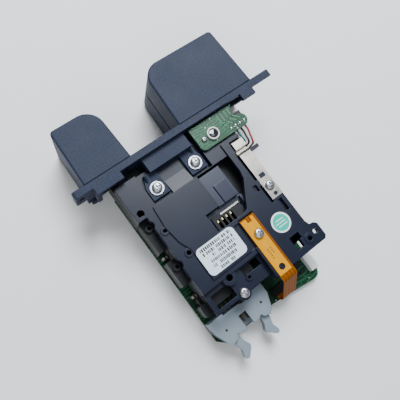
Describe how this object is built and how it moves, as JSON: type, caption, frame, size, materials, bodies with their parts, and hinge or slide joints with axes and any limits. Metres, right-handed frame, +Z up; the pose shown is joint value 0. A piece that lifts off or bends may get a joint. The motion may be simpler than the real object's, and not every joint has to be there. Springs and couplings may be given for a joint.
{
  "type": "manual insertion card reader",
  "caption": "Card reader for a kiosk: a card is pushed into the slot between two horns, read by a magnetic head and chip contacts, and pulled out again.",
  "frame": {"origin": "centre of the card slot's mouth at the flange's front face, on the card's middle plane", "axes": "+X across the card towards the small horn, +Y into the machine, +Z up, away from the main board"},
  "size_m": [0.1146, 0.1394, 0.0307],
  "materials": {
    "horn_plastic": "fine-grained, blue-grey",
    "frame_plastic": "satin, navy black",
    "carriage_plastic": "satin, blue-grey",
    "black_plastic": "satin",
    "header_plastic": "pale grey-blue",
    "white_plastic": "satin",
    "lens": "polished, dark",
    "zinc": "zinc plated",
    "spring_steel": "drawn wire",
    "nickel": "nickel plated, warm",
    "gold": "gold plated",
    "board": "solder mask, green",
    "chip": "moulded",
    "kapton": "flexible film, brown-orange",
    "stiffener": "golden yellow",
    "paper": "matt",
    "sticker": "matt, mint green",
    "wire_teal": "wire cover",
    "wire_black": "wire cover",
    "wire_red": "wire cover"
  },
  "bodies": {
    "reader": {"bezel_upper": "horn_plastic", "bezel_lower": "horn_plastic", "bezel_joint_screws": "zinc", "bezel_washers": "zinc", "bezel_screws": "zinc", "upper_frame": "frame_plastic", "guide_plate": "black_plastic", "lower_frame": "black_plastic", "carriage_spring": "spring_steel", "head_springs": "spring_steel", "head_ribbon": "kapton", "head_socket": "white_plastic", "front_switch": "black_plastic", "rear_switch": "black_plastic", "main_board": "board", "board_screws": "zinc", "board_terminals": "nickel", "board_chips": "chip", "board_processor": "chip", "side_socket": "white_plastic", "flex_socket": "black_plastic", "header": "header_plastic", "latch_pins": "nickel", "header_pins": "gold", "sensor_board": "board", "sensor_screw": "zinc", "sensor_lamp_ring": "white_plastic", "sensor_lamp": "lens", "sensor_pads": "nickel", "sensor_plug": "black_plastic", "sensor_socket": "white_plastic", "wire_teal": "wire_teal", "wire_black": "wire_black", "wire_red": "wire_red", "ground_strip": "nickel", "strip_screw": "zinc", "flat_cable": "kapton", "cable_stiffener": "stiffener", "cable_screw": "zinc", "rear_screw": "zinc", "label": "paper", "sticker": "sticker"},
    "carriage": {"contact_carriage": "carriage_plastic", "carriage_pins": "nickel", "contact_block": "black_plastic", "contact_springs": "gold", "contact_bar": "nickel"},
    "head": {"magnetic_head": "nickel"},
    "plus_latch": {"latch_plus": "header_plastic"},
    "minus_latch": {"latch_minus": "header_plastic"},
    "front_card_lever": {"front_lever": "white_plastic"},
    "rear_card_lever": {"rear_lever": "white_plastic"}
  },
  "joints": [
    {"name": "carriage_slide", "type": "slide", "parent": "reader", "child": "carriage", "axis": [0, 0.9766, -0.2149], "range_m": [0, 0.0051], "stiffness_N_per_m": 120, "springref_m": -0.003, "deforming": ["carriage_spring"]},
    {"name": "head_float", "type": "slide", "parent": "reader", "child": "head", "axis": [0, 0, -1], "range_m": [0, 0.0009], "stiffness_N_per_m": 800, "springref_m": -0.0006, "deforming": ["head_springs", "head_ribbon"]},
    {"name": "latch_plus_turn", "type": "hinge", "parent": "reader", "child": "plus_latch", "pos_m": [0.0266, 0.0902, -0.00785], "axis": [0, 0, -1], "range_deg": [0, 40]},
    {"name": "latch_minus_turn", "type": "hinge", "parent": "reader", "child": "minus_latch", "pos_m": [0.0052, 0.0902, -0.00785], "axis": [0, 0, 1], "range_deg": [0, 40]},
    {"name": "front_lever_tip", "type": "hinge", "parent": "reader", "child": "front_card_lever", "pos_m": [0.02, 0.01, -0.0039], "axis": [-1, 0, 0], "range_deg": [0, 8], "stiffness_Nm_per_rad": 0.002, "springref_deg": -17.19},
    {"name": "rear_lever_tip", "type": "hinge", "parent": "reader", "child": "rear_card_lever", "pos_m": [0.02, 0.056, -0.0039], "axis": [-1, 0, 0], "range_deg": [0, 8], "stiffness_Nm_per_rad": 0.002, "springref_deg": -17.19}
  ]
}
